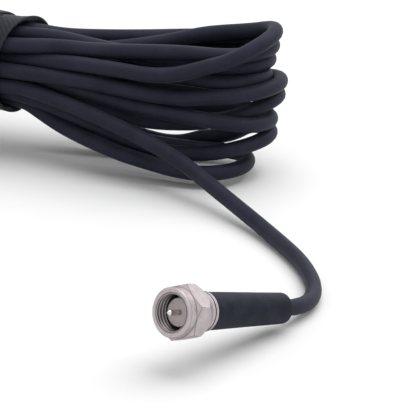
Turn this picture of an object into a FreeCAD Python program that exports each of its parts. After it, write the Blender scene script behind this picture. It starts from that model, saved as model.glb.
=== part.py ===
import FreeCAD, Part
import math
import os

# Coaxial antenna lead: a tied hank of thin cable with a screw-on plug at its free end.
# Millimetres, +Z up, floor at z = 0, the hank along X, the plug in front of it towards -Y.
# Plug sizes run along the plug's own axis: "at" is the distance behind the nut's front face.

os.makedirs("parts", exist_ok=True)
V = FreeCAD.Vector

# Cable
cable_d = 2.6
dielectric_d = 1.52
conductor_d = 0.48

# Where the plug lies: the middle of the nut's front, the heading from +Y to +X, how far the nose is up
plug_tip_x = 55.1
plug_tip_y = -48.5
plug_tip_z = 10.3
plug_heading_deg = 20.6
plug_nose_up_deg = 14.8

# Coupling nut
nut_length = 6.0
nut_across_flats = 8.0
nut_ring_d = 7.8
nut_ring_length = 1.45
nut_chamfer_deg = 55.0
nut_rear_d = 7.0
nut_rear_chamfer_deg = 28.0
nut_edge = 0.15
nut_front_edge = 0.27
nut_turn_deg = 17.0
nut_running_gap = 0.05
mouth_d = 6.5
thread_minor_d = 5.72
thread_major_d = 6.35
thread_pitch = 0.7056
thread_start_at = 0.2
relief_d = 6.4
relief_length = 0.8
nut_web = 0.7

# Retaining ring, near the nut's rear
ring_from_rear = 1.15
ring_at = nut_length - ring_from_rear
ring_width = 0.45
ring_inner_d = 4.8
ring_outer_d = 6.2
ring_split = 1.2
ring_groove_d = 6.4
ring_side_gap = 0.05

# Plug body: the barrel in the nut's mouth, the nut's journal, the collar behind the nut
face_at = 1.7
barrel_d = 4.58
barrel_edge = 0.16
barrel_taper = 0.3
journal_d = 5.5
journal_lead = 0.95
journal_at = ring_at - journal_lead
collar_gap = 0.1
collar_at = nut_length + collar_gap
collar_d = 6.3
collar_length = 1.65
collar_end_at = collar_at + collar_length
collar_edge = 0.1
collar_groove_from_front = 0.75
collar_groove_at = collar_at + collar_groove_from_front
collar_groove_width = 0.3
collar_groove_depth = 0.15
seat_d = 4.8
seat_length = 1.8
seat_end_at = collar_end_at + seat_length
stem_d = 2.2
stem_bore_d = 1.6
stem_length = 5.0
stem_end_at = seat_end_at + stem_length

# Insulator and centre pin
insulator_d = 4.1
insulator_at = 1.8
insulator_in_collar = 1.25
insulator_end_at = collar_at + insulator_in_collar
pin_tip_at = -0.7
pin_tip_d = 0.91
pin_tip_flat_d = 0.4
pin_tip_taper = 0.3
pin_root_d = 1.27
pin_cup_d = 0.5
pin_cup_depth = 1.8
pin_cup_at = insulator_end_at - pin_cup_depth

# Crimp and boot
strip_gap = 0.5
strip_at = stem_end_at + strip_gap
braid_crimped_d = 2.8
braid_gap = 0.15
braid_start_at = seat_end_at + braid_gap
ferrule_d = 3.7
ferrule_bore_d = 2.84
ferrule_on_jacket = 3.2
ferrule_end_at = strip_at + ferrule_on_jacket
boot_front_gap = 0.05
boot_at = collar_end_at + boot_front_gap
boot_length = 19.5
boot_front_d = 5.96
boot_shoulder_length = 2.95
boot_shoulder_at = boot_at + boot_shoulder_length
boot_shoulder_d = 5.8
boot_middle_length = 12.1
boot_middle_at = boot_at + boot_middle_length
boot_middle_d = 5.25
boot_end_at = boot_at + boot_length
boot_rear_round = 0.7
boot_rear_at = boot_end_at - boot_rear_round
boot_rear_d = 4.88
boot_edge = 0.15
boot_end_d = 3.8
boot_gap = 0.02

# Hank: the turns are pinched at the tie and fan out to a stack of loops at each end
hank_x = -13.8
hank_y = 41.8
right_reach = 55.7
left_reach = 53.7
loop_r = 7.0
right_turn_z = [2.2, 7.8, 10.5, 13.1, 15.7, 17.7, 19.7, 22.3, 24.9]
left_turn_z = [1.3, 4.1, 6.8, 9.5, 12.3, 15.0, 17.6, 20.3, 23.0]
right_turn_out = [-3.0, -1.5, -1.6, -0.6, 0.0, -1.9, -2.0, -1.5, -0.7]
left_turn_out = [-0.4, -1.2, -0.3, -0.8, -0.1, -0.6, 0.0, -0.9, -0.5]
groove_depth = 0.6
ridge_flats = 3
bundle_r = 6.6
bundle_z = 13.6
bundle_half_length = 9.0
bundle_groove_depth = 0.45
bundle_spread_deg = 72.0
bundle_edge_deg = 81.0

# Tie strap: a band wound one and a half times
strap_width = 16.0
strap_thickness = 0.6
strap_r = 7.3
strap_z = 14.25
strap_layer_gap = 0.1

# Route of the free stretch, from inside the hank to the plug's last bend: it starts with the hank
tail_route = [
    V(hank_x + 11.0, hank_y - 5.5, 12.4),
    V(hank_x + 16.5, hank_y - 6.8, 11.7),
    V(hank_x + 28.5, hank_y - 10.2, 9.8),
    V(27.2, 27.9, 6.8),
    V(38.6, 21.6, 2.9),
    V(50.0, 11.6, 1.35),
    V(59.3, 0.9, 1.3),
    V(65.0, -9.6, 1.3),
]
tail_last_bend = 5.7

# Route of the other end, from inside the hank to the end of its jacket: it goes with the hank
far_route = [
    V(hank_x - 11.0, hank_y - 3.4, 7.8),
    V(hank_x - 15.9, hank_y - 6.2, 7.0),
    V(hank_x - 24.1, hank_y - 11.6, 4.6),
    V(hank_x - 32.1, hank_y - 16.6, 1.8),
    V(hank_x - 39.9, hank_y - 20.1, 1.4),
]
far_braid_d = 2.0
far_braid_length = 5.0
far_dielectric_length = 4.0
far_conductor_length = 4.5


def turned(profile):
    """Solid of revolution about Z from (at, radius) points."""
    points = [V(radius, 0, at) for at, radius in profile]
    face = Part.Face(Part.makePolygon(points + points[:1]))
    return face.revolve(V(0, 0, 0), V(0, 0, 1), 360)


def pipe(start, end, outer_d, inner_d=0):
    """Round bar or tube along Z."""
    bar = Part.makeCylinder(outer_d / 2, end - start, V(0, 0, start))
    if inner_d:
        bar = bar.cut(Part.makeCylinder(inner_d / 2, end - start, V(0, 0, start)))
    return bar


def rounded_path(points):
    """Straight runs joined by tangent arcs, each as large as its two runs allow."""
    edges = []
    radii = []
    start = points[0]
    for before, corner, after in zip(points, points[1:], points[2:]):
        back = before - corner
        ahead = after - corner
        reach = 0.45 * min(back.Length, ahead.Length)
        back.normalize()
        ahead.normalize()
        half_turn = (math.pi - back.getAngle(ahead)) / 2
        radius = reach / math.tan(half_turn)
        middle = back + ahead
        middle.normalize()
        on_arc = corner + middle * (radius / math.cos(half_turn) - radius)
        arc_start = corner + back * reach
        arc_end = corner + ahead * reach
        edges.append(Part.LineSegment(start, arc_start).toShape())
        edges.append(Part.Arc(arc_start, on_arc, arc_end).toShape())
        radii.append(round(radius, 1))
        start = arc_end
    edges.append(Part.LineSegment(start, points[-1]).toShape())
    return Part.Wire(edges), radii


def cable_along(name, points):
    """Round cable along a route, with its bend radii and volume printed."""
    path, radii = rounded_path(points)
    section = Part.Wire(Part.makeCircle(cable_d / 2, points[0], points[1] - points[0]))
    cable = path.makePipeShell([section], True, True)
    expected = math.pi / 4 * cable_d**2 * path.Length
    print(name, "bend radii", radii, "length", round(path.Length, 1))
    print(name, "volume over section times length", round(cable.Volume / expected, 4))
    return cable


def ridged_side(crests, valleys, first, last):
    """Edges of one side of the hank's section: a few flats round each turn."""
    ends = [first] + valleys + [last]
    points = [first]
    for low, crest, high in zip(ends, crests, ends[1:]):
        points += Part.Arc(low, crest, high).discretize(ridge_flats + 1)[1:]
    return Part.makePolygon(points).Edges


def loop_side(x, turn_z, turn_out):
    """Side of the section where the loops begin, on the -Y side of the hank."""
    wall = [loop_r + cable_d / 2 + out for out in turn_out]
    crests = [V(x, -y, z) for y, z in zip(wall, turn_z)]
    valleys = []
    for i in range(len(wall) - 1):
        y = min(wall[i], wall[i + 1]) - groove_depth
        valleys.append(V(x, -y, (turn_z[i] + turn_z[i + 1]) / 2))
    first = V(x, -wall[0] + cable_d / 2, turn_z[0] - cable_d / 2)
    last = V(x, -wall[-1] + cable_d / 2, turn_z[-1] + cable_d / 2)
    return ridged_side(crests, valleys, first, last), first, last


def bundle_side(x, turns):
    """Side of the section under the tie, on the -Y side of the hank."""

    def at(radius, deg):
        angle = math.radians(deg)
        return V(x, -radius * math.cos(angle), bundle_z + radius * math.sin(angle))

    step = 2 * bundle_spread_deg / (turns - 1)
    inner = bundle_r - bundle_groove_depth
    crests = [at(bundle_r, -bundle_spread_deg + i * step) for i in range(turns)]
    valleys = [at(inner, -bundle_spread_deg + (i + 0.5) * step) for i in range(turns - 1)]
    first = at(inner, -bundle_edge_deg)
    last = at(inner, bundle_edge_deg)
    return ridged_side(crests, valleys, first, last), first, last


def mirrored(point):
    return V(point.x, -point.y, point.z)


def full_section(side):
    """Closed section: the -Y side, the top, the mirrored side, the bottom."""
    edges, first, last = side
    other = [edge.mirror(V(0, 0, 0), V(0, 1, 0)) for edge in edges]
    top = Part.LineSegment(last, mirrored(last)).toShape()
    bottom = Part.LineSegment(mirrored(first), first).toShape()
    return Part.Wire(edges + [top] + other[::-1] + [bottom])


def loop_end(x, side, sense):
    """Stack of loops: half of the section swung round the upright axis at x."""
    edges, first, last = side
    foot = V(x, 0, first.z)
    head = V(x, 0, last.z)
    closing = [
        Part.LineSegment(last, head).toShape(),
        Part.LineSegment(head, foot).toShape(),
        Part.LineSegment(foot, first).toShape(),
    ]
    face = Part.Face(Part.Wire(edges + closing))
    return face.revolve(foot, V(0, 0, 1), 180 * sense)


# Coupling nut
hex_corner_r = nut_across_flats / 2 / math.cos(math.pi / 6)
hex_points = []
for k in range(7):
    angle = math.radians(nut_turn_deg + 60 * k)
    hex_points.append(V(hex_corner_r * math.cos(angle), hex_corner_r * math.sin(angle), 0))
hexagon = Part.Face(Part.makePolygon(hex_points)).extrude(V(0, 0, nut_length))
clear_r = hex_corner_r + 0.1
ring_r = nut_ring_d / 2
rear_r = nut_rear_d / 2
front_chamfer = (clear_r - ring_r) / math.tan(math.radians(nut_chamfer_deg))
rear_chamfer = (clear_r - rear_r) / math.tan(math.radians(nut_rear_chamfer_deg))
nut_blank = turned(
    [
        (0, 0),
        (0, ring_r - nut_front_edge),
        (nut_front_edge, ring_r),
        (nut_ring_length, ring_r),
        (nut_ring_length + front_chamfer, clear_r),
        (nut_length - nut_edge - rear_chamfer, clear_r),
        (nut_length - nut_edge, rear_r),
        (nut_length, rear_r - nut_edge),
        (nut_length, 0),
    ]
)
thread_room = ring_at - ring_side_gap - nut_web - relief_length - thread_start_at
thread_turns = int(thread_room / thread_pitch)
thread = []
for k in range(thread_turns):
    thread.append((thread_start_at + k * thread_pitch, thread_minor_d / 2))
    thread.append((thread_start_at + (k + 0.5) * thread_pitch, thread_major_d / 2))
thread_end_at = thread_start_at + thread_turns * thread_pitch
web_at = thread_end_at + relief_length
web_r = journal_d / 2 + nut_running_gap
nut_bore = turned(
    [(-1, 0), (-1, mouth_d / 2), (0, mouth_d / 2)]
    + thread
    + [
        (thread_end_at, thread_minor_d / 2),
        (thread_end_at, relief_d / 2),
        (web_at, relief_d / 2),
        (web_at, web_r),
        (ring_at - ring_side_gap, web_r),
        (ring_at - ring_side_gap, ring_groove_d / 2),
        (ring_at + ring_width + ring_side_gap, ring_groove_d / 2),
        (ring_at + ring_width + ring_side_gap, web_r),
        (nut_length + 1, web_r),
        (nut_length + 1, 0),
    ]
)
coupling_nut = nut_blank.common(hexagon).cut(nut_bore)

# Retaining ring, split at its top
retaining_ring = pipe(ring_at, ring_at + ring_width, ring_outer_d, ring_inner_d)
split_slot = Part.makeBox(ring_outer_d, ring_split, ring_width, V(0, -ring_split / 2, ring_at))
retaining_ring = retaining_ring.cut(split_slot)

# Plug body
groove_end_at = collar_groove_at + collar_groove_width
groove_r = collar_d / 2 - collar_groove_depth
plug_body = turned(
    [
        (face_at, insulator_d / 2),
        (face_at, barrel_d / 2 - barrel_edge),
        (face_at + barrel_taper, barrel_d / 2),
        (journal_at, barrel_d / 2),
        (journal_at, journal_d / 2),
        (ring_at, journal_d / 2),
        (ring_at, ring_inner_d / 2),
        (ring_at + ring_width, ring_inner_d / 2),
        (ring_at + ring_width, journal_d / 2),
        (collar_at, journal_d / 2),
        (collar_at, collar_d / 2 - collar_edge),
        (collar_at + collar_edge, collar_d / 2),
        (collar_groove_at, collar_d / 2),
        (collar_groove_at, groove_r),
        (groove_end_at, groove_r),
        (groove_end_at, collar_d / 2),
        (collar_end_at - collar_edge, collar_d / 2),
        (collar_end_at, collar_d / 2 - collar_edge),
        (collar_end_at, seat_d / 2),
        (seat_end_at, seat_d / 2),
        (seat_end_at, stem_d / 2),
        (stem_end_at, stem_d / 2),
        (stem_end_at, stem_bore_d / 2),
        (insulator_end_at, stem_bore_d / 2),
        (insulator_end_at, insulator_d / 2),
    ]
)

# Insulator and centre pin
insulator = pipe(insulator_at, insulator_end_at, insulator_d, pin_root_d)
center_pin = turned(
    [
        (pin_tip_at, 0),
        (pin_tip_at, pin_tip_flat_d / 2),
        (pin_tip_at + pin_tip_taper, pin_tip_d / 2),
        (insulator_at, pin_tip_d / 2),
        (insulator_at, pin_root_d / 2),
        (insulator_end_at, pin_root_d / 2),
        (insulator_end_at, pin_cup_d / 2),
        (pin_cup_at, pin_cup_d / 2),
        (pin_cup_at, 0),
    ]
)

# The cable's stripped end inside the plug
plug_conductor = pipe(pin_cup_at, strip_at, conductor_d)
plug_dielectric = pipe(insulator_end_at, strip_at, dielectric_d, conductor_d)
plug_braid = turned(
    [
        (braid_start_at, stem_d / 2),
        (braid_start_at, braid_crimped_d / 2),
        (stem_end_at + 0.1, braid_crimped_d / 2),
        (strip_at, far_braid_d / 2),
        (strip_at, dielectric_d / 2),
        (stem_end_at + 0.1, dielectric_d / 2),
        (stem_end_at, stem_d / 2),
    ]
)
plug_cable = pipe(strip_at, boot_end_at, cable_d)

# Crimp ferrule and boot
crimp_ferrule = pipe(braid_start_at, ferrule_end_at, ferrule_d, ferrule_bore_d)
boot_sleeve = turned(
    [
        (boot_at, seat_d / 2 + boot_gap),
        (boot_at, boot_front_d / 2 - boot_edge),
        (boot_at + boot_edge, boot_front_d / 2),
        (boot_shoulder_at, boot_shoulder_d / 2),
        (boot_middle_at, boot_middle_d / 2),
        (boot_rear_at, boot_rear_d / 2),
        (boot_end_at, boot_end_d / 2),
        (boot_end_at, cable_d / 2 + boot_gap),
        (ferrule_end_at + boot_edge, cable_d / 2 + boot_gap),
        (ferrule_end_at + boot_edge, ferrule_d / 2 + boot_gap),
        (seat_end_at + boot_edge, ferrule_d / 2 + boot_gap),
        (seat_end_at + boot_edge, seat_d / 2 + boot_gap),
    ]
)

# The plug's pieces go to where the plug lies
heading = math.radians(plug_heading_deg)
nose_up = math.radians(plug_nose_up_deg)
plug_axis = V(
    math.sin(heading) * math.cos(nose_up),
    math.cos(heading) * math.cos(nose_up),
    -math.sin(nose_up),
)
plug_tip = V(plug_tip_x, plug_tip_y, plug_tip_z)
plug_place = FreeCAD.Placement(plug_tip, FreeCAD.Rotation(V(0, 0, 1), plug_axis))
nodes = {
    "coupling_nut": coupling_nut,
    "retaining_ring": retaining_ring,
    "plug_body": plug_body,
    "insulator": insulator,
    "center_pin": center_pin,
    "plug_conductor": plug_conductor,
    "plug_dielectric": plug_dielectric,
    "plug_braid": plug_braid,
    "plug_cable": plug_cable,
    "crimp_ferrule": crimp_ferrule,
    "boot_sleeve": boot_sleeve,
}
for shape in nodes.values():
    shape.Placement = plug_place

# Hank: loops at both ends, fanned runs, and the bundle under the tie
turns = len(right_turn_z)
right_x = right_reach - loop_r - cable_d / 2
left_x = -(left_reach - loop_r - cable_d / 2)
right_loops = loop_side(right_x, right_turn_z, right_turn_out)
left_loops = loop_side(left_x, left_turn_z, left_turn_out)
right_bundle = full_section(bundle_side(bundle_half_length, turns))
left_bundle = full_section(bundle_side(-bundle_half_length, turns))
hank_stretches = [
    Part.makeLoft([left_bundle, right_bundle], True, True),
    Part.makeLoft([right_bundle, full_section(right_loops)], True, True),
    loop_end(right_x, right_loops, 1),
    Part.makeLoft([full_section(left_loops), left_bundle], True, True),
    loop_end(left_x, left_loops, -1),
]
cable_hank = hank_stretches[0].multiFuse(hank_stretches[1:])
cable_hank.translate(V(hank_x, hank_y, 0))
nodes["cable_hank"] = cable_hank.Solids[0]

# Free stretch of the cable to the plug
tail_end = plug_tip + plug_axis * boot_end_at
tail_bend = plug_tip + plug_axis * (boot_end_at + tail_last_bend)
nodes["cable_tail"] = cable_along("cable_tail", tail_route + [tail_bend, tail_end])

# Other end of the cable, stripped in steps
nodes["far_cable"] = cable_along("far_cable", far_route)
far_axis = far_route[-1] - far_route[-2]
far_place = FreeCAD.Placement(far_route[-1], FreeCAD.Rotation(V(0, 0, 1), far_axis))
far_dielectric_end = far_braid_length + far_dielectric_length
far_conductor_end = far_dielectric_end + far_conductor_length
nodes["far_braid"] = pipe(0, far_braid_length, far_braid_d, dielectric_d)
nodes["far_dielectric"] = pipe(0, far_dielectric_end, dielectric_d, conductor_d)
nodes["far_conductor"] = pipe(0, far_conductor_end, conductor_d)
for name in ("far_braid", "far_dielectric", "far_conductor"):
    nodes[name].Placement = far_place

# Tie strap: three half turns, each further out by half of a layer
layer = strap_thickness + strap_layer_gap
inner_line = []
outer_line = []
side = 1
for half in range(3):
    r = strap_r + half * layer / 2
    centre = V(-strap_width / 2, 0, strap_z + side * layer / 4)
    for line, radius in ((inner_line, r), (outer_line, r + strap_thickness)):
        start = centre + V(0, 0, -side * radius)
        middle = centre + V(0, -side * radius, 0)
        end = centre + V(0, 0, side * radius)
        line.append(Part.Arc(start, middle, end).toShape())
    side = -side
first_edge = Part.LineSegment(inner_line[0].valueAt(inner_line[0].FirstParameter),
                              outer_line[0].valueAt(outer_line[0].FirstParameter)).toShape()
last_edge = Part.LineSegment(outer_line[-1].valueAt(outer_line[-1].LastParameter),
                             inner_line[-1].valueAt(inner_line[-1].LastParameter)).toShape()
strap_wire = Part.Wire(Part.__sortEdges__(inner_line + outer_line + [first_edge, last_edge]))
tie_strap = Part.Face(strap_wire).extrude(V(strap_width, 0, 0))
tie_strap.translate(V(hank_x, hank_y, 0))
nodes["tie_strap"] = tie_strap

whole = FreeCAD.BoundBox()
for name, shape in nodes.items():
    whole.add(shape.BoundBox)
    print(name, "valid", shape.isValid(), "solids", len(shape.Solids), "volume", round(shape.Volume, 2))
    shape.exportStep("parts/" + name + ".step")
print("box", whole)
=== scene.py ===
import math

import bpy
import numpy as np
from mathutils import Euler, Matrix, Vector


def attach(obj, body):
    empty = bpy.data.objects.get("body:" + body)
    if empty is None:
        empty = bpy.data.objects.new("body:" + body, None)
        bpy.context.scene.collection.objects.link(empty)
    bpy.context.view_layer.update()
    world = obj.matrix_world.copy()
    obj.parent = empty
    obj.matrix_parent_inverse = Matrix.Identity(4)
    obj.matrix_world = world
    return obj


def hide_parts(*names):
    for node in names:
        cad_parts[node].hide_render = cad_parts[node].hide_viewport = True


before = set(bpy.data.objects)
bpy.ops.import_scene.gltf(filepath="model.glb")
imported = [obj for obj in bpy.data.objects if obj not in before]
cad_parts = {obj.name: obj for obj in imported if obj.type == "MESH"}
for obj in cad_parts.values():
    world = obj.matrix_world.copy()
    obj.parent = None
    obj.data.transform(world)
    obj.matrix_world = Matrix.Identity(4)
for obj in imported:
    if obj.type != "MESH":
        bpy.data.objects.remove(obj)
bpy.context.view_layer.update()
scene = bpy.context.scene
MM = 0.001

# Camera
PICTURE = 420
CAMERA_AIM = Vector((0.03548, 0.02261, 0.0))
CAMERA_TILT = 70
CAMERA_TURN = 20
CAMERA_AWAY = 0.9
camera = bpy.data.objects.new("camera", bpy.data.cameras.new("camera"))
scene.collection.objects.link(camera)
camera.rotation_euler = Euler((math.radians(CAMERA_TILT), 0, math.radians(CAMERA_TURN)))
camera.location = CAMERA_AIM + camera.rotation_euler.to_matrix() @ Vector((0, 0, CAMERA_AWAY))
camera.data.sensor_width = 36
camera.data.lens = 470.6
scene.camera = camera

# Cable
# Millimetres, as in the part's source. The hank's own points are about the middle of its tie.
CABLE_D = 2.6
HANK = np.array((-13.8, 41.8, 0.0))
TAIL = [
    (64.387, -23.793, 3.326), (66.326, -18.635, 1.870), (65.0, -9.6, 1.3), (59.3, 0.9, 1.3),
    (50.0, 11.6, 1.35), (38.6, 21.6, 2.9), (27.2, 27.9, 6.8), (14.7, 31.6, 9.8),
    (2.7, 35.0, 11.7), (-2.8, 36.3, 12.4),
]
FAR = [
    (-24.8, 38.4, 7.8), (-29.7, 35.6, 7.0), (-37.9, 30.2, 4.6), (-45.9, 25.2, 1.8), (-53.7, 21.7, 1.4),
]

# The tie round the strands, and how far it reaches along them
TIE_Y = -0.3
TIE_Z = 14.5
TIE_R = 7.5
TIE_GAP = 0.05
TIE_FROM = -9.5
TIE_TO = 10.5
TIE_XS = (-9, -3, 3, 9)

# Places of the strands under the tie (y, z): fronts lead left, backs lead right
FRONT_SLOTS = [
    (-5.2, 12.3), (-2.6, 15.9), (-3.8, 18.4), (-1.4, 20.0), (0.0, 17.4),
    (-5.2, 15.2), (-1.2, 10.9), (-2.7, 13.2), (-3.9, 9.8), (-1.5, 8.4),
]
BACK_SLOTS = [
    (2.6, 15.4), (1.4, 20.0), (3.8, 18.2), (0.1, 13.6), (5.2, 14.9),
    (2.2, 11.9), (5.2, 12.1), (3.8, 9.7), (1.3, 8.3),
]

# Turns at the right end. The bend is half a circle: its reach, the y of its middle, its radius and the height
# of its crest. The back strand leads out to it and the front strand leads home. Each strand is given by
# places in the picture: pixel across, pixel down, and the y at which the strand lies there.
RIGHT_TURNS = [
    dict(
        bend=(54.1, -0.7, 7.2, 24.7),
        back_pixels=[
            (110, 49.5, 3.4), (130, 48.5, 4.0), (150, 46, 4.4), (170, 43.5, 4.9), (190, 39.5, 5.4),
            (210, 35.5, 6.0),
        ],
        front_pixels=[
            (204, 69, -8.5), (184, 75, -8.8), (165, 77, -8.7), (144, 76, -8.4), (123, 71.5, -7.8),
            (90, 66.5, -6.6), (60, 63, -5.6),
        ],
    ),
    dict(
        bend=(52.7, 0.2, 7.1, 21.2),
        back_pixels=[
            (60, 38.5, 3.6), (90, 40, 4.6), (130, 41, 5.8), (170, 41, 6.8), (205, 40.5, 7.4), (233, 42, 7.4),
        ],
        front_pixels=[
            (190, 60.5, -6.4), (157, 58.5, -6.0), (123, 57.5, -5.4), (90, 55.5, -4.6), (60, 51, -3.8),
        ],
    ),
    dict(
        bend=(52.2, 0.4, 6.9, 19.1),
        back_pixels=[(60, 49, 5.4), (90, 49, 6.2), (130, 50, 7.0), (170, 50.5, 7.4), (205, 52, 7.4)],
        front_pixels=[
            (180, 62, -5.2), (155, 59.5, -4.5), (125, 55, -3.7), (90, 47.5, -2.8), (60, 39.5, -2.0),
        ],
    ),
    dict(
        bend=(52.6, 0.4, 6.9, 17.8),
        back_pixels=[(60, 66, 2.0), (100, 65.5, 4.0), (140, 64, 5.8), (180, 64, 6.6), (215, 65.5, 6.6)],
        front_pixels=[
            (190, 75.5, -5.6), (155, 71.5, -4.5), (120, 66, -3.4), (90, 61, -2.4), (60, 56.5, -1.6),
        ],
    ),
    dict(
        bend=(53.8, -0.4, 7.4, 16.8),
        back_pixels=[(60, 68, 6.4), (100, 69, 7.0), (140, 70, 7.4), (180, 71, 7.4), (215, 72, 7.2)],
        front_pixels=[
            (204, 93, -8.3), (184, 95.5, -8.4), (164, 94, -8.4), (144, 91, -8.2), (123, 87, -7.8),
            (90, 80, -7.0), (60, 75.5, -6.2),
        ],
    ),
    dict(
        bend=(54.0, 0.4, 7.0, 13.9),
        back_pixels=[(60, 82, 4.0), (100, 84, 5.4), (140, 85.5, 6.4), (180, 87, 7.0), (215, 90, 7.0)],
        front_pixels=[
            (212, 122.4, -6.2), (198, 125.5, -6.0), (170, 125, -5.9), (150, 124, -5.8), (135, 121, -5.7),
            (117, 114, -5.2), (90, 104, -4.4), (60, 94.5, -3.6),
        ],
    ),
    dict(
        bend=(52.7, -0.5, 7.5, 10.2),
        back_pixels=[(60, 92, 6.4), (100, 97, 7.0), (140, 103, 7.3), (180, 106.5, 7.4), (215, 104, 7.2)],
        front_pixels=[
            (184, 113, -8.2), (164, 109.5, -8.0), (144, 106, -7.6), (123, 101, -7.2), (90, 91.5, -6.0),
            (60, 84.5, -4.8),
        ],
    ),
    dict(
        bend=(52.9, -0.7, 7.2, 7.1),
        back_pixels=[
            (60, 110, 3.6), (90, 120, 4.4), (120, 130.5, 4.4), (145, 139.5, 4.2), (170, 145.5, 4.4),
            (186, 145, 4.6), (203, 138, 5.0), (216, 138, 5.4), (232, 138, 5.8), (243, 127, 6.5),
        ],
        front_pixels=[
            (212, 155.5, -7.9), (197, 157, -7.7), (177, 157, -7.4), (160, 155, -7.4), (144, 151.5, -7.4),
            (123, 144.5, -7.2), (90, 130, -6.4), (60, 116, -5.4),
        ],
    ),
    dict(
        bend=(49.8, -2.8, 7.1, 2.6),
        back_pixels=[
            (60, 112, 0.6), (90, 124, 0.8), (120, 134, 0.9), (150, 143, 1.3), (180, 146.5, 2.2),
            (204, 149, 3.5),
        ],
        front_pixels=[
            (180, 171, -9.9), (157, 164.5, -9.9), (123, 154.5, -9.6), (103, 146, -9.2), (90, 140.5, -8.6),
            (60, 126, -5.8),
        ],
    ),
]

# Turns at the left end: the bend's height, reach, radius and lean, and the dips of its front and back strands
LEFT_TURNS = [
    (12.3, 51.9, 7.3, 0.1, 0.6, -0.4),
    (23.0, 49.9, 7.0, 0.7, 1.6, 0.6),
    (20.3, 50.8, 7.4, 0.8, -0.6, 0.8),
    (17.6, 51.9, 7.1, 0.6, 0.4, -0.8),
    (15.0, 50.7, 7.4, 0.3, -0.8, 0.6),
    (9.5, 50.6, 7.0, -0.2, 0.8, -0.6),
    (6.8, 51.8, 7.3, -0.4, -0.4, 0.5),
    (4.1, 50.0, 6.9, -0.3, 0.6, -0.5),
    (1.3, 51.3, 7.2, 0.0, -0.3, 0.2),
]

# A bend's points, in degrees, and the strands that lead to a left bend: they end a little before it, and are
# as far apart as its ends well before that
BEND_STEP = 30
BEND_TURNS = np.arange(BEND_STEP / 2, 180, BEND_STEP)
BEFORE_BEND = 2.5
APART_EARLY = 1.4
STRAND_SHARES = (0.25, 0.5, 0.75, 1.0)

# How the strands settle. Points lie a step apart. Near pairs are looked up again every few turns, without
# points that are close along the cable. A pair is pushed apart up to its spacing, in cable diameters.
POINT_STEP = 1.5
SETTLE_TURNS = 300
LOOK_EVERY = 6
NEAR_SQUARED = 14
OWN_POINTS = 6
SPACING = 1.02
PUSH_SHARE = 0.3
LONGEST_MOVE = 0.5
SMOOTHINGS = 4
TINY = 1e-9

# Line steps between two control points, and how many settled points there are for each control point
CABLE_STEPS = 4
END_STEPS = 8
SETTLED_EACH = 2


def smooth(t):
    """From 0 to 1 with a soft start and end."""
    return t * t * (3 - 2 * t)


def new_curve(name, points, steps):
    """Curve object of one open NURBS spline with these control points, in millimetres."""
    data = bpy.data.curves.new(name, "CURVE")
    data.dimensions = "3D"
    spline = data.splines.new("NURBS")
    spline.points.add(len(points) - 1)
    for point, at in zip(spline.points, points):
        point.co = (at[0] * MM, at[1] * MM, at[2] * MM, 1)
    spline.order_u = 3
    spline.use_endpoint_u = True
    spline.resolution_u = steps
    return bpy.data.objects.new(name, data)


def line_of(points, steps):
    """Points of the smooth line of such a spline, in millimetres."""
    curve = new_curve("line", points, steps)
    mesh = bpy.data.meshes.new_from_object(curve)
    line = np.array([v.co for v in mesh.vertices]) / MM
    bpy.data.meshes.remove(mesh)
    bpy.data.objects.remove(curve)
    return line


def across(slot, way):
    """Strand under the tie, towards the right (1) or the left (-1)."""
    return [(x * way, slot[0], slot[1]) for x in TIE_XS]


def left_strand(slot, side, height, reach, radius, lean, dip):
    """From the tie to a left bend, to its end in front (-1) or behind (1)."""
    tie_end = TIE_XS[-1]
    points = []
    for share in STRAND_SHARES:
        x = -tie_end - (reach - (tie_end + BEFORE_BEND) - radius) * share
        y = slot[0] + (side * radius - slot[0]) * min(1.0, share * APART_EARLY)
        z = slot[1] + (height + side * lean - slot[1]) * smooth(share) - dip * math.sin(math.pi * share)
        points.append((x, y, z))
    return points


def left_turn(slot_in, slot_out, height, reach, radius, lean, dip_front, dip_back):
    """From a front strand round the left end to a back strand."""
    points = left_strand(slot_in, -1, height, reach, radius, lean, dip_front)
    corner = radius / math.cos(math.radians(BEND_STEP / 2))
    for turn in BEND_TURNS:
        a = math.radians(turn)
        x = radius - reach - corner * math.sin(a)
        points.append((x, -corner * math.cos(a), height - lean * math.cos(a)))
    return points + left_strand(slot_out, 1, height, reach, radius, lean, dip_back)[::-1]


def on_pixel(pixel_across, pixel_down, y):
    """The point of the hank that the camera sees on this pixel of the square picture, at depth y."""
    focal = camera.data.lens / camera.data.sensor_width * PICTURE
    sight = Vector((pixel_across - PICTURE / 2, PICTURE / 2 - pixel_down, -focal))
    ray = camera.rotation_euler.to_matrix() @ sight
    eye = camera.location / MM - Vector(HANK)
    return tuple(eye + ray * ((y - eye.y) / ray.y))


def right_turn(bend, back_pixels, front_pixels):
    """From a back strand round the right end to a front strand."""
    reach, middle, radius, crest = bend
    outward = [on_pixel(*place) for place in back_pixels]
    homeward = [on_pixel(*place) for place in front_pixels]
    start = outward[-1][2]
    end = homeward[0][2]
    corner = radius / math.cos(math.radians(BEND_STEP / 2))
    points = []
    for turn in BEND_TURNS:
        a = math.radians(turn)
        t = turn / 180
        z = start * (1 - t) * (1 - 2 * t) + crest * 4 * t * (1 - t) + end * t * (2 * t - 1)
        points.append((reach - radius + corner * math.sin(a), middle + corner * math.cos(a), z))
    return outward + points + homeward


def even(line):
    """The same line with its points a fixed step apart."""
    far = np.concatenate(([0.0], np.cumsum(np.linalg.norm(np.diff(line, axis=0), axis=1))))
    at = np.linspace(0, far[-1], int(far[-1] / POINT_STEP) + 1)
    return np.stack([np.interp(at, far, line[:, i]) for i in range(3)], 1)


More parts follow.
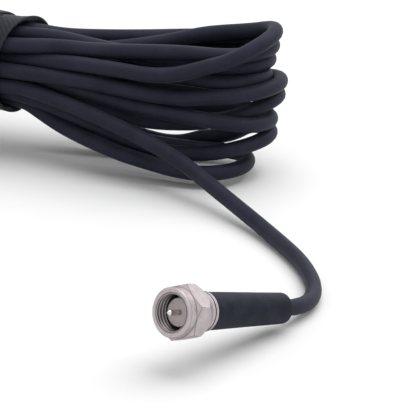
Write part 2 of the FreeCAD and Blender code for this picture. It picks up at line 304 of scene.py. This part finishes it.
def settle(line, tail, far_end):
    """The hank's strands push each other a diameter apart, over the floor and inside the tie."""
    start = line.copy()
    count = len(line)
    fixed = np.concatenate((tail, far_end))
    before = np.arange(-len(tail), 0)
    after = np.arange(count, count + len(far_end))
    place = np.concatenate((np.arange(count), before, after))
    room = TIE_R - CABLE_D / 2 - TIE_GAP
    for turn in range(SETTLE_TURNS):
        every = np.concatenate((line, fixed))
        if turn % LOOK_EVERY == 0:
            near = ((line[:, None, :] - every[None, :, :]) ** 2).sum(2)
            one, two = np.nonzero(near < NEAR_SQUARED)
            keep = (two > one) & (np.abs(place[one] - place[two]) > OWN_POINTS)
            one = one[keep]
            two = two[keep]
            free = two < count
        gap = every[one] - every[two]
        dist = np.linalg.norm(gap, axis=1, keepdims=True) + TINY
        push = gap / dist * np.clip(CABLE_D * SPACING - dist, 0, None)
        move = np.zeros_like(line)
        np.add.at(move, one, push * np.where(free, PUSH_SHARE, 2 * PUSH_SHARE)[:, None])
        np.add.at(move, two[free], -push[free] * PUSH_SHARE)
        size = np.linalg.norm(move, axis=1, keepdims=True)
        line = line + move * np.minimum(1, LONGEST_MOVE / (size + TINY))
        bulge = line - start
        for _ in range(SMOOTHINGS):
            bulge[1:-1] = 0.5 * bulge[1:-1] + 0.25 * (bulge[:-2] + bulge[2:])
        line = start + bulge
        line[:, 2] = np.maximum(line[:, 2], CABLE_D / 2)
        out = line[:, 1:] - (TIE_Y, TIE_Z)
        far = np.linalg.norm(out, axis=1)
        tied = (line[:, 0] > TIE_FROM) & (line[:, 0] < TIE_TO) & (far > room)
        line[tied, 1:] = (TIE_Y, TIE_Z) + out[tied] * (room / far[tied])[:, None]
    return line


turns = across(FRONT_SLOTS[0], -1)
for k, back_slot in enumerate(BACK_SLOTS):
    turns += left_turn(FRONT_SLOTS[k], back_slot, *LEFT_TURNS[k])
    turns += across(back_slot, 1)
    turns += right_turn(**RIGHT_TURNS[k])
    turns += across(FRONT_SLOTS[k + 1], -1)
tail_line = even(line_of(np.array(TAIL) - HANK, END_STEPS))
far_line = even(line_of(np.array(FAR) - HANK, END_STEPS))
hank = settle(even(line_of(turns, CABLE_STEPS)), tail_line, far_line)

# The tube's radius is its bevel times the radius of each point
route = TAIL + [tuple(p) for p in hank[::SETTLED_EACH] + HANK] + FAR
cable = new_curve("cable", route, CABLE_STEPS)
for point in cable.data.splines[0].points:
    point.radius = CABLE_D / 2 * MM
cable.data.bevel_depth = 1.0
cable.data.bevel_resolution = 6
scene.collection.objects.link(cable)
route_line = line_of(route, CABLE_STEPS)
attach(cable, "lead")
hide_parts("cable_tail", "cable_hank", "far_cable")

# Tie strap
# A woven band, wound one and two thirds times round the bundle from below, over the front first.
# Millimetres and degrees. The second layer laps over the first one, further to the left.
STRAP_WIDTH = 16.0
STRAP_THICK = 0.5
STRAP_WOUND = 605
STRAP_RAISE = 0.2
STRAP_STEPS = 168
STRAP_COLUMNS = 17
RIM_TURNS = (60, 30, 0, -30, -60)
LAP_START = 318
LAP_RISE = 70
LAP_GAP = 0.03
LAP_SHIFT = 5.0
STRAP_SHIFT = 0.94
SLANT_FRONT = 2.1
SLANT_LOW = 0.5
FLARE = 0.3
FLARE_BEHIND = 0.35
FLARE_WIDTH = 3.5
SWELL = 0.5
SWELL_WIDTH = 3.0
SWELL_END = 60
RIPPLE = 0.04


def strap_section():
    """The band's cross section with round rims: place across the band, and height over its middle."""
    rim = STRAP_THICK / 2
    inner = STRAP_WIDTH / 2 - rim
    columns = np.linspace(-inner, inner, STRAP_COLUMNS)
    right_rim = []
    left_rim = []
    for turn in RIM_TURNS:
        a = math.radians(turn)
        right_rim.append((inner + rim * math.cos(a), rim * math.sin(a)))
        left_rim.append((-inner - rim * math.cos(a), -rim * math.sin(a)))
    top = [(x, rim) for x in columns]
    bottom = [(x, -rim) for x in columns[::-1]]
    return top + right_rim + bottom + left_rim


def strap_mesh():
    """The wound band, with its own lengths along and across as UVs for the weave."""
    section = strap_section()
    count = len(section)
    verts = []
    faces = []
    weave_at = []
    for i in range(STRAP_STEPS + 1):
        wound = STRAP_WOUND * i / STRAP_STEPS
        a = math.radians(wound)
        lap = smooth(min(1.0, max(0.0, (wound - LAP_START) / LAP_RISE)))
        middle = TIE_R + STRAP_THICK / 2 + lap * (STRAP_THICK + LAP_GAP) + RIPPLE * math.sin(3 * a + 0.7)
        slant = STRAP_SHIFT - SLANT_FRONT * math.sin(a) - SLANT_LOW * math.cos(a) - LAP_SHIFT * lap
        flare = (FLARE + FLARE_BEHIND * max(0.0, -math.sin(a))) * (1 - lap)
        swell = SWELL * lap * max(0.0, -math.cos(a)) * min(1.0, (STRAP_WOUND - wound) / SWELL_END)
        for x, height in section:
            from_rim = STRAP_WIDTH / 2 - x
            r = middle + height + flare * max(0.0, 1 - from_rim / FLARE_WIDTH) ** 2
            r += swell * min(1.0, from_rim / SWELL_WIDTH)
            r += RIPPLE * math.sin(5 * a + x * 0.9)
            verts.append((
                (HANK[0] + x + slant) * MM,
                (HANK[1] + TIE_Y - r * math.sin(a)) * MM,
                (TIE_Z + STRAP_RAISE - r * math.cos(a)) * MM,
            ))
            weave_at.append((a * middle, x))
    for i in range(STRAP_STEPS):
        for j in range(count):
            k = (j + 1) % count
            faces.append((i * count + j, i * count + k, (i + 1) * count + k, (i + 1) * count + j))
    faces.append(tuple(range(count))[::-1])
    faces.append(tuple(STRAP_STEPS * count + j for j in range(count)))
    mesh = bpy.data.meshes.new("strap")
    mesh.from_pydata(verts, [], faces)
    layer = mesh.uv_layers.new(name="weave")
    for loop in mesh.loops:
        layer.data[loop.index].uv = weave_at[loop.vertex_index]
    mesh.shade_smooth()
    return mesh


strap = bpy.data.objects.new("strap", strap_mesh())
scene.collection.objects.link(strap)
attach(strap, "lead")
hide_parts("tie_strap")

# Materials
# Patterns are in millimetres. Those of the plug and of the stripped end go by the axis of each.
PLUG_TIP = Vector((55.1, -48.5, 10.3))
PLUG_AXIS = Vector((0.34017, 0.90500, -0.25545))
FAR_AT = Vector(FAR[-1])
FAR_AXIS = (FAR_AT - Vector(FAR[-2])).normalized()
# Painted shade: colour of the dark lines along the nut's edges
EDGE_SHADE_COLOUR = (0.075, 0.066, 0.069)
# Painted shade: colour of the shade deep in the bores
BORE_SHADE_COLOUR = (0.030, 0.026, 0.027)
TOOL_RINGS = 62.0
CUT_RINGS = 48.0
TWILL_PITCH = 0.9
WARP_PITCH = 0.45
WEFT_PITCH = 0.6
BRAID_BANDS = 6.0
BRAID_SLOPE = 5.2
BRAID_WIRES = 2.5


def add(tree, kind, inputs=None, **settings):
    """New shader node with its settings, and its inputs given as values or sockets."""
    node = tree.nodes.new("ShaderNode" + kind)
    for key, value in settings.items():
        setattr(node, key, value)
    for key, value in (inputs or {}).items():
        if isinstance(value, bpy.types.NodeSocket):
            tree.links.new(value, node.inputs[key])
        else:
            node.inputs[key].default_value = value
    return node


def calc(tree, how, a, b=0.0):
    return add(tree, "Math", {0: a, 1: b}, operation=how).outputs[0]


def plus(tree, a, b):
    return calc(tree, "ADD", a, b)


def times(tree, a, b):
    return calc(tree, "MULTIPLY", a, b)


def wave(tree, value, rate=1.0):
    """Sine of a value times a rate."""
    return calc(tree, "SINE", times(tree, value, rate))


def between(tree, value, start, end, low=0.0, high=1.0):
    """Number from low to high while value goes from start to end."""
    return add(tree, "MapRange", {0: value, 1: start, 2: end, 3: low, 4: high}).outputs[0]


def ramp(tree, share, low, high, start=0.0, end=1.0):
    """Colour from low to high while share goes from start to end."""
    node = add(tree, "ValToRGB", {0: share})
    node.color_ramp.elements[0].position = start
    node.color_ramp.elements[0].color = (*low, 1)
    node.color_ramp.elements[1].position = end
    node.color_ramp.elements[1].color = (*high, 1)
    return node.outputs[0]


def mix(tree, share, base, top):
    """A base colour with so much of a plain colour over it."""
    return add(tree, "Mix", {0: share, 6: base, 7: (*top, 1)}, data_type="RGBA").outputs[2]


def noise(tree, at, scale, detail=3.0, rough=0.55):
    inputs = {"Vector": at, "Scale": scale, "Detail": detail, "Roughness": rough}
    return add(tree, "TexNoise", inputs).outputs[0]


def rounded(tree, radius, samples):
    """Normal of the surface with its edges rounded, the radius in millimetres."""
    return add(tree, "Bevel", {"Radius": radius * MM}, samples=samples).outputs[0]


def bump(tree, height, depth, strength, normal=None):
    """Bump of a height from 0 to 1, with the depth in millimetres."""
    inputs = {"Height": height, "Distance": depth * MM, "Strength": strength}
    if normal is not None:
        inputs["Normal"] = normal
    return add(tree, "Bump", inputs).outputs[0]


def in_millimetres(tree, **placing):
    """The point on the surface in millimetres, turned and moved as given."""
    at = add(tree, "TexCoord").outputs["Object"]
    return add(tree, "Mapping", {"Vector": at, "Scale": (1000, 1000, 1000), **placing}).outputs[0]


def along_axis(tree, origin, axis):
    """In a frame whose Z is the axis: the point, its distance out, its angle and its place along."""
    turn = axis.to_track_quat("Z", "Y").to_matrix().transposed()
    point = in_millimetres(tree, Rotation=turn.to_euler(), Location=-(turn @ origin))
    part = add(tree, "SeparateXYZ", {0: point}).outputs
    squares = plus(tree, times(tree, part[0], part[0]), times(tree, part[1], part[1]))
    angle = calc(tree, "ARCTAN2", part[1], part[0])
    return point, calc(tree, "SQRT", squares), angle, part[2]


def new_material(name, roughness, metallic=0.0, specular=0.5):
    m = bpy.data.materials.new(name)
    m.use_nodes = True
    shader = m.node_tree.nodes["Principled BSDF"]
    shader.inputs["Roughness"].default_value = roughness
    shader.inputs["Metallic"].default_value = metallic
    shader.inputs["Specular IOR Level"].default_value = specular
    return m, m.node_tree, shader


def link(tree, shader, **sockets):
    names = {"color": "Base Color", "rough": "Roughness", "normal": "Normal"}
    for key, value in sockets.items():
        tree.links.new(value, shader.inputs[names[key]])


def painted_edge_shade(tree, color, facing, along, first, last):
    """Painted shade: dark lines along the edges, between two places along the axis."""
    edge = between(tree, facing, 0.9985, 0.985)
    past = between(tree, along, first, first + 0.2, high=0.8)
    before = between(tree, along, last, last - 0.4)
    return mix(tree, times(tree, times(tree, edge, past), before), color, EDGE_SHADE_COLOUR)


def painted_bore_shade(tree, color, out, along, start, inner, outer, least, most):
    """Painted shade in the bore behind its start: least at the inner radius, most in what is deeper."""
    inside = between(tree, out, outer, outer - 0.1)
    past = between(tree, along, start, start + 0.1)
    deep = between(tree, out, inner + 0.04, inner + 0.2, low=least, high=most)
    return mix(tree, times(tree, times(tree, inside, past), deep), color, BORE_SHADE_COLOUR)


def turned_metal(name, low, high, rough_low, rough_high, edge, bore_shade=None, edge_shade=None):
    """Plated turned metal: tool rings, blotches, pale edges that are partly wear and partly painted
    highlight, painted shade in the bore and painted dark lines along the edges.
    """
    m, tree, shader = new_material(name, roughness=0.3, metallic=1.0)
    point, out, _, along = along_axis(tree, PLUG_TIP, PLUG_AXIS)
    blotch = noise(tree, point, scale=0.9, detail=4.0)
    fine = noise(tree, point, scale=6.0)
    flat = add(tree, "NewGeometry").outputs["Normal"]
    wide = rounded(tree, radius=0.16, samples=8)
    facing = add(tree, "VectorMath", {0: wide, 1: flat}, operation="DOT_PRODUCT").outputs["Value"]
    # Pale edges: partly wear, partly painted highlight along the rims and faces
    wear_and_highlight = times(tree, calc(tree, "SUBTRACT", 1.0, facing), plus(tree, fine, 0.6))
    color = ramp(tree, blotch, low, high, start=0.35, end=0.65)
    color = mix(tree, between(tree, wear_and_highlight, 0.01, 0.12), color, edge)
    # Painted shade: dark lines along the edges
    if edge_shade:
        color = painted_edge_shade(tree, color, facing, along, *edge_shade)
    # Painted shade deep in the bore
    if bore_shade:
        color = painted_bore_shade(tree, color, out, along, *bore_shade)
    rings = plus(tree, times(tree, wave(tree, plus(tree, along, out), TOOL_RINGS), 0.25), fine)
    link(
        tree, shader, color=color, rough=between(tree, fine, 0.0, 1.0, rough_low, rough_high),
        normal=bump(tree, rings, depth=0.004, strength=0.5, normal=rounded(tree, radius=0.05, samples=6)),
    )
    return m


def jacket_material():
    """Cable jacket: dark satin plastic, faint extrusion lines and soft blotches."""
    m, tree, shader = new_material("jacket", roughness=0.5, specular=0.08)
    point = in_millimetres(tree)
    blotch = noise(tree, point, scale=0.22)
    fine = noise(tree, point, scale=3.0, detail=4.0, rough=0.6)
    around = add(tree, "SeparateXYZ", {0: add(tree, "UVMap", uv_map="UVMap").outputs[0]}).outputs
    drawn = add(tree, "CombineXYZ", {0: times(tree, around[0], 40.0), 1: times(tree, around[1], 40.0)})
    lines = noise(tree, drawn.outputs[0], scale=1.0, detail=2.0)
    height = plus(tree, times(tree, fine, 0.6), times(tree, lines, 0.4))
    tone = plus(tree, times(tree, blotch, 0.5), times(tree, height, 0.5))
    low = (0.0215, 0.0226, 0.0370)
    high = (0.0390, 0.0408, 0.0635)
    link(
        tree, shader, color=ramp(tree, tone, low, high, start=0.34, end=0.66),
        rough=between(tree, fine, 0.0, 1.0, low=0.42, high=0.60),
        normal=bump(tree, height, depth=0.05, strength=0.3),
    )
    return m


def sleeve_material():
    """Shrunk rubbery sleeve: bluish black with fine lengthwise drag lines."""
    m, tree, shader = new_material("sleeve", roughness=0.5, specular=0.12)
    point, out, angle, along = along_axis(tree, PLUG_TIP, PLUG_AXIS)
    drag = add(tree, "CombineXYZ", {0: times(tree, angle, 9.0), 1: out, 2: times(tree, along, 0.35)})
    lines = noise(tree, drag.outputs[0], scale=1.0)
    fine = noise(tree, point, scale=4.0, detail=4.0, rough=0.6)
    blotch = noise(tree, point, scale=0.35)
    height = plus(tree, times(tree, fine, 0.5), lines)
    low = (0.0066, 0.0084, 0.0164)
    high = (0.0150, 0.0180, 0.0334)
    link(
        tree, shader, color=ramp(tree, blotch, low, high, start=0.36, end=0.64),
        rough=between(tree, lines, 0.0, 1.0, low=0.40, high=0.58),
        normal=bump(tree, height, depth=0.04, strength=0.3, normal=rounded(tree, radius=0.3, samples=6)),
    )
    return m


def strap_material():
    """Woven band: twill ribs of fine threads, a soft sheen and a painted highlight along the rims."""
    m, tree, shader = new_material("strap", roughness=0.7, specular=0.16)
    shader.inputs["Sheen Weight"].default_value = 0.85
    shader.inputs["Sheen Roughness"].default_value = 0.22
    shader.inputs["Sheen Tint"].default_value = (0.75, 0.78, 0.85, 1)
    length, width, _ = add(tree, "SeparateXYZ", {0: add(tree, "UVMap", uv_map="weave").outputs[0]}).outputs
    twill = wave(tree, plus(tree, length, width), 2 * math.pi / TWILL_PITCH)
    warp = wave(tree, width, 2 * math.pi / WARP_PITCH)
    weft = wave(tree, length, 2 * math.pi / WEFT_PITCH)
    fuzz = noise(tree, in_millimetres(tree), scale=5.0, detail=4.0, rough=0.65)
    threads = plus(tree, times(tree, twill, 0.5), times(tree, times(tree, warp, weft), 0.35))
    ribs = between(tree, times(tree, threads, 0.5), 0.0, 1.0, low=0.5, high=1.0)
    height = plus(tree, ribs, times(tree, fuzz, 0.5))
    half = STRAP_WIDTH / 2
    # Painted highlight: paler colour along both rims of the band
    rim = between(tree, calc(tree, "ABSOLUTE", width), half - 0.5, half - 0.1, high=0.3)
    tone = plus(tree, plus(tree, times(tree, threads, 0.3), fuzz), rim)
    low = (0.0040, 0.0042, 0.0075)
    high = (0.0300, 0.0308, 0.0440)
    link(
        tree, shader, color=ramp(tree, tone, low, high, start=0.2, end=0.85),
        rough=between(tree, fuzz, 0.0, 1.0, low=0.5, high=0.75),
        normal=bump(tree, height, depth=0.14, strength=0.9),
    )
    return m


def plain_plastic(name, low, high, rough_low, rough_high, origin, axis, subsurface):
    """Pale insulating plastic: faint cut rings and cloudy tone."""
    m, tree, shader = new_material(name, roughness=0.4)
    shader.inputs["Subsurface Weight"].default_value = subsurface
    shader.inputs["Subsurface Scale"].default_value = 0.0006
    point, out, _, along = along_axis(tree, origin, axis)
    cloud = noise(tree, point, scale=1.1)
    fine = noise(tree, point, scale=7.0)
    rings = wave(tree, plus(tree, out, along), CUT_RINGS)
    height = plus(tree, times(tree, rings, 0.25), fine)
    link(
        tree, shader, color=ramp(tree, cloud, low, high, start=0.3, end=0.7),
        rough=between(tree, fine, 0.0, 1.0, rough_low, rough_high),
        normal=bump(tree, height, depth=0.01, strength=0.5),
    )
    return m


def braid_material(name, origin, axis):
    """Tinned braid: bands of fine wires that cross over and under."""
    m, tree, shader = new_material(name, roughness=0.35, metallic=1.0)
    point, _, angle, along = along_axis(tree, origin, axis)
    turn = times(tree, angle, BRAID_BANDS)
    slope = times(tree, along, BRAID_SLOPE)
    left = plus(tree, turn, slope)
    right = calc(tree, "SUBTRACT", turn, slope)
    over = calc(tree, "GREATER_THAN", times(tree, wave(tree, left), wave(tree, right)), 0.0)
    wires_left = calc(tree, "ABSOLUTE", wave(tree, left, BRAID_WIRES))
    wires_right = calc(tree, "ABSOLUTE", wave(tree, right, BRAID_WIRES))
    wires = add(tree, "Mix", {0: over, 2: wires_left, 3: wires_right}, data_type="FLOAT").outputs[0]
    fine = noise(tree, point, scale=5.0)
    link(
        tree, shader, color=ramp(tree, wires, low=(0.20, 0.195, 0.19), high=(0.68, 0.67, 0.65), end=0.6),
        rough=between(tree, fine, 0.0, 1.0, low=0.28, high=0.48),
        normal=bump(tree, wires, depth=0.09, strength=0.9),
    )
    return m


def wire_material(name, low, high, origin, axis):
    """Drawn wire: lengthwise draw lines and a faint tarnish."""
    m, tree, shader = new_material(name, roughness=0.3, metallic=1.0)
    point, _, angle, along = along_axis(tree, origin, axis)
    drawn = add(tree, "CombineXYZ", {0: times(tree, angle, 8.0), 1: times(tree, along, 0.25)})
    lines = noise(tree, drawn.outputs[0], scale=1.0)
    tarnish = noise(tree, point, scale=1.6, detail=4.0)
    link(
        tree, shader, color=ramp(tree, tarnish, low, high, start=0.3, end=0.7),
        rough=between(tree, lines, 0.0, 1.0, low=0.22, high=0.45),
        normal=bump(tree, lines, depth=0.02, strength=0.5),
    )
    return m


# Darkest and palest colour, lowest and highest roughness, and for turned metal the colour of its pale edges,
# partly worn and partly painted highlight
NICKEL = ((0.425, 0.372, 0.385), (0.505, 0.452, 0.463), 0.30, 0.44, (0.72, 0.675, 0.68))
CONTACT = ((0.60, 0.58, 0.56), (0.70, 0.685, 0.66), 0.16, 0.28, (0.93, 0.92, 0.90))
BRONZE = ((0.52, 0.38, 0.22), (0.63, 0.48, 0.30), 0.26, 0.42, (0.74, 0.62, 0.44))
FLUOROPOLYMER = ((0.74, 0.64, 0.635), (0.86, 0.765, 0.755), 0.34, 0.5)
CORE = ((0.78, 0.79, 0.77), (0.86, 0.87, 0.85), 0.3, 0.45)
COPPER = ((0.60, 0.32, 0.19), (0.76, 0.46, 0.30))

# A bore's painted shade is its start along the axis, its inner and outer radius, and its least and most
# darkness
NUT_BORE_SHADE = (0.02, 2.86, 3.45, 0.15, 0.95)
# Painted edge shade on the nut, from and to these places along the axis
NUT_EDGE_SHADE = (0.12, 3.0)
BODY_BORE_SHADE = (2.3, 2.1, 3.1, 0.1, 0.93)
PIN_BORE_SHADE = (1.4, 0.2, 0.9, 0.3, 0.55)

jacket = jacket_material()
cable.data.materials.append(jacket)
strap.data.materials.append(strap_material())
finish = {
    # Painted shade in the bores of nut, body and pin, and painted dark lines along the nut's edges
    "coupling_nut": turned_metal("nut_nickel", *NICKEL, bore_shade=NUT_BORE_SHADE, edge_shade=NUT_EDGE_SHADE),
    "plug_body": turned_metal("body_nickel", *NICKEL, bore_shade=BODY_BORE_SHADE),
    "crimp_ferrule": turned_metal("nickel", *NICKEL),
    "retaining_ring": turned_metal("bronze", *BRONZE),
    "center_pin": turned_metal("contact", *CONTACT, bore_shade=PIN_BORE_SHADE),
    "insulator": plain_plastic("fluoropolymer", *FLUOROPOLYMER, PLUG_TIP, PLUG_AXIS, subsurface=0.15),
    "boot_sleeve": sleeve_material(),
    "plug_cable": jacket,
    "plug_braid": braid_material("plug_braid", PLUG_TIP, PLUG_AXIS),
    "plug_dielectric": plain_plastic("plug_core", *CORE, PLUG_TIP, PLUG_AXIS, subsurface=0.25),
    "plug_conductor": wire_material("plug_wire", *COPPER, PLUG_TIP, PLUG_AXIS),
    "far_braid": braid_material("far_braid", FAR_AT, FAR_AXIS),
    "far_dielectric": plain_plastic("far_core", *CORE, FAR_AT, FAR_AXIS, subsurface=0.25),
    "far_conductor": wire_material("far_wire", *COPPER, FAR_AT, FAR_AXIS),
}
for node, m in finish.items():
    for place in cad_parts[node].material_slots:
        place.material = m

# Floor and light
# The floor and the world look white, and throw less light on the object than white ones would
FLOOR_HALF = 3
FLOOR_BOUNCE = (0.55, 0.55, 0.55)
WORLD_BOUNCE = 0.5
WHITE = (1.0, 1.0, 1.0)


def seen(tree):
    """1 for rays from the camera and for reflections, 0 for light that only bounces."""
    ray = add(tree, "LightPath").outputs
    both = calc(tree, "MAXIMUM", ray["Is Camera Ray"], ray["Is Glossy Ray"])
    return calc(tree, "MAXIMUM", both, ray["Is Transmission Ray"])


def lamp(name, at, to, size, watts):
    """Round lamp that shines from one point to another."""
    data = bpy.data.lights.new(name, "AREA")
    data.shape = "DISK"
    data.size = size
    data.energy = watts
    light = bpy.data.objects.new(name, data)
    light.location = at
    light.rotation_euler = (Vector(to) - Vector(at)).to_track_quat("-Z", "Y").to_euler()
    scene.collection.objects.link(light)


corners = [(x * FLOOR_HALF, y * FLOOR_HALF, 0) for x, y in ((-1, -1), (1, -1), (1, 1), (-1, 1))]
floor_mesh = bpy.data.meshes.new("floor")
floor_mesh.from_pydata(corners, [], [(0, 1, 2, 3)])
floor = bpy.data.objects.new("floor", floor_mesh)
scene.collection.objects.link(floor)
m, tree, shader = new_material("floor", roughness=0.9, specular=0.1)
link(tree, shader, color=ramp(tree, seen(tree), FLOOR_BOUNCE, WHITE))
floor_mesh.materials.append(m)

world = bpy.data.worlds.new("world")
scene.world = world
world.use_nodes = True
tree = world.node_tree
background = tree.nodes["Background"]
background.inputs["Color"].default_value = (*WHITE, 1)
strength = between(tree, seen(tree), 0.0, 1.0, low=WORLD_BOUNCE, high=1.0)
tree.links.new(strength, background.inputs["Strength"])

lamp("top", at=(0.22, 0.24, 0.72), to=(0.03, 0.02, 0), size=1.1, watts=5.5)
scene.view_settings.view_transform = "Standard"

bpy.context.view_layer.update()
